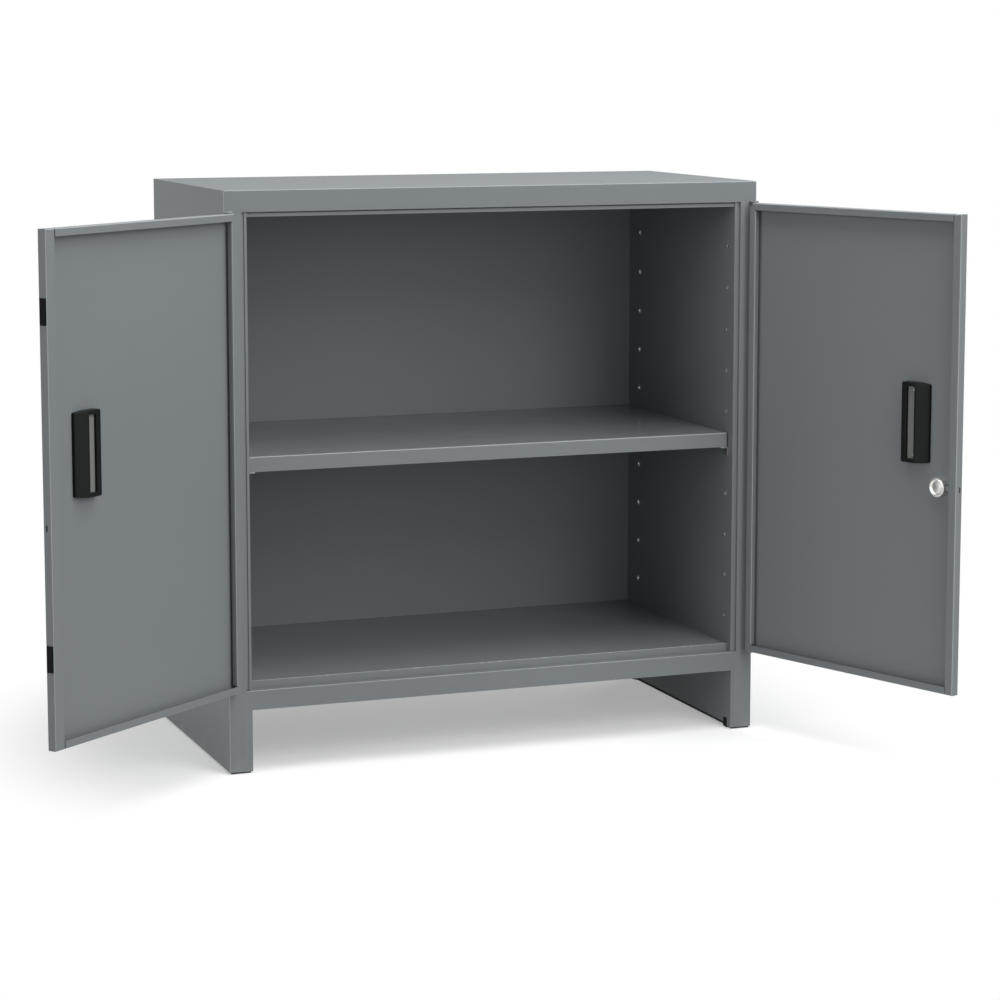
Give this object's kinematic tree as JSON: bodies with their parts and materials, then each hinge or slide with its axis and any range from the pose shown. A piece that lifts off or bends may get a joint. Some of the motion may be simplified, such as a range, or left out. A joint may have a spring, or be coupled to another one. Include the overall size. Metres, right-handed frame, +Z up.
{
  "type": "tool cabinet",
  "caption": "Grey sheet-steel tool cabinet on short legs, with hinged doors, recessed pulls, a key lock and a loose shelf on hooked clips.",
  "frame": {"origin": "on the floor, in the middle of the carcass's footprint", "axes": "+X to the right, seen from the front; +Y to the back; +Z up"},
  "size_m": [1.5251, 0.9522, 1],
  "materials": {
    "carcass_paint": "satin grey paint, dark and slightly cool",
    "door_paint": "satin grey paint on the folded door pans",
    "shelf_paint": "satin grey paint, worn a little at the lip",
    "black_plastic": "black moulded plastic with a fine grain",
    "grey_plate": "grey plate in the pull's slot",
    "black_rubber": "matt black rubber",
    "zinc": "bright zinc plate",
    "lock_metal": "nickel-plated lock body",
    "lock_steel": "plain machined steel"
  },
  "bodies": {
    "carcass": {"back_panel": "carcass_paint", "feet": "black_rubber", "floor_panel": "carcass_paint", "floor_stiffeners": "carcass_paint", "front_rail": "carcass_paint", "header_strip": "carcass_paint", "left_liner": "carcass_paint", "left_lower_pivot_bracket": "carcass_paint", "left_lower_pivot_pin": "zinc", "left_side_panel": "carcass_paint", "left_upper_pivot_bracket": "carcass_paint", "left_upper_pivot_pin": "zinc", "right_liner": "carcass_paint", "right_lower_pivot_bracket": "carcass_paint", "right_lower_pivot_pin": "zinc", "right_side_panel": "carcass_paint", "right_upper_pivot_bracket": "carcass_paint", "right_upper_pivot_pin": "zinc", "shelf_clips": "zinc", "top_panel": "carcass_paint"},
    "left_door": {"door_buffers": "black_rubber", "left_door_panel": "door_paint", "left_handle_bezel": "black_plastic", "left_handle_screws": "zinc", "left_handle_shell": "black_plastic", "left_handle_strip": "grey_plate", "left_lower_pivot_plate": "door_paint", "left_upper_pivot_plate": "door_paint"},
    "right_door": {"lock_bezel": "lock_metal", "lock_cap": "lock_metal", "lock_case": "lock_metal", "right_door_panel": "door_paint", "right_handle_bezel": "black_plastic", "right_handle_screws": "zinc", "right_handle_shell": "black_plastic", "right_handle_strip": "grey_plate", "right_lower_pivot_plate": "door_paint", "right_upper_pivot_plate": "door_paint"},
    "lock_plug": {"lock_plug": "lock_steel"},
    "lock_bolt": {"lock_bolt": "lock_steel"},
    "shelf": {"shelf": "shelf_paint", "shelf_stiffener": "shelf_paint"}
  },
  "joints": [
    {"name": "left_door_hinge", "type": "hinge", "parent": "carcass", "child": "left_door", "pos_m": [-0.4855, -0.254, 0.5], "axis": [0, 0, 1], "range_deg": [-38, 142]},
    {"name": "right_door_hinge", "type": "hinge", "parent": "carcass", "child": "right_door", "pos_m": [0.4855, -0.254, 0.5], "axis": [0, 0, 1], "range_deg": [-110, 70]},
    {"name": "lock_turn", "type": "hinge", "parent": "right_door", "child": "lock_plug", "pos_m": [0.63531, -0.66558, 0.499], "axis": [-0.9397, -0.342, 0], "range_deg": [0, 90]},
    {"name": "bolt_slide", "type": "slide", "parent": "right_door", "child": "lock_bolt", "axis": [0.342, -0.9397, 0], "range_m": [0, 0.01]},
    {"name": "shelf_lift", "type": "slide", "parent": "carcass", "child": "shelf", "axis": [0, 0, 1], "range_m": [0, 0.375]}
  ],
  "couplings": [
    {"joint": "bolt_slide", "follows": "lock_turn", "m_per_rad": 0.0063662}
  ]
}
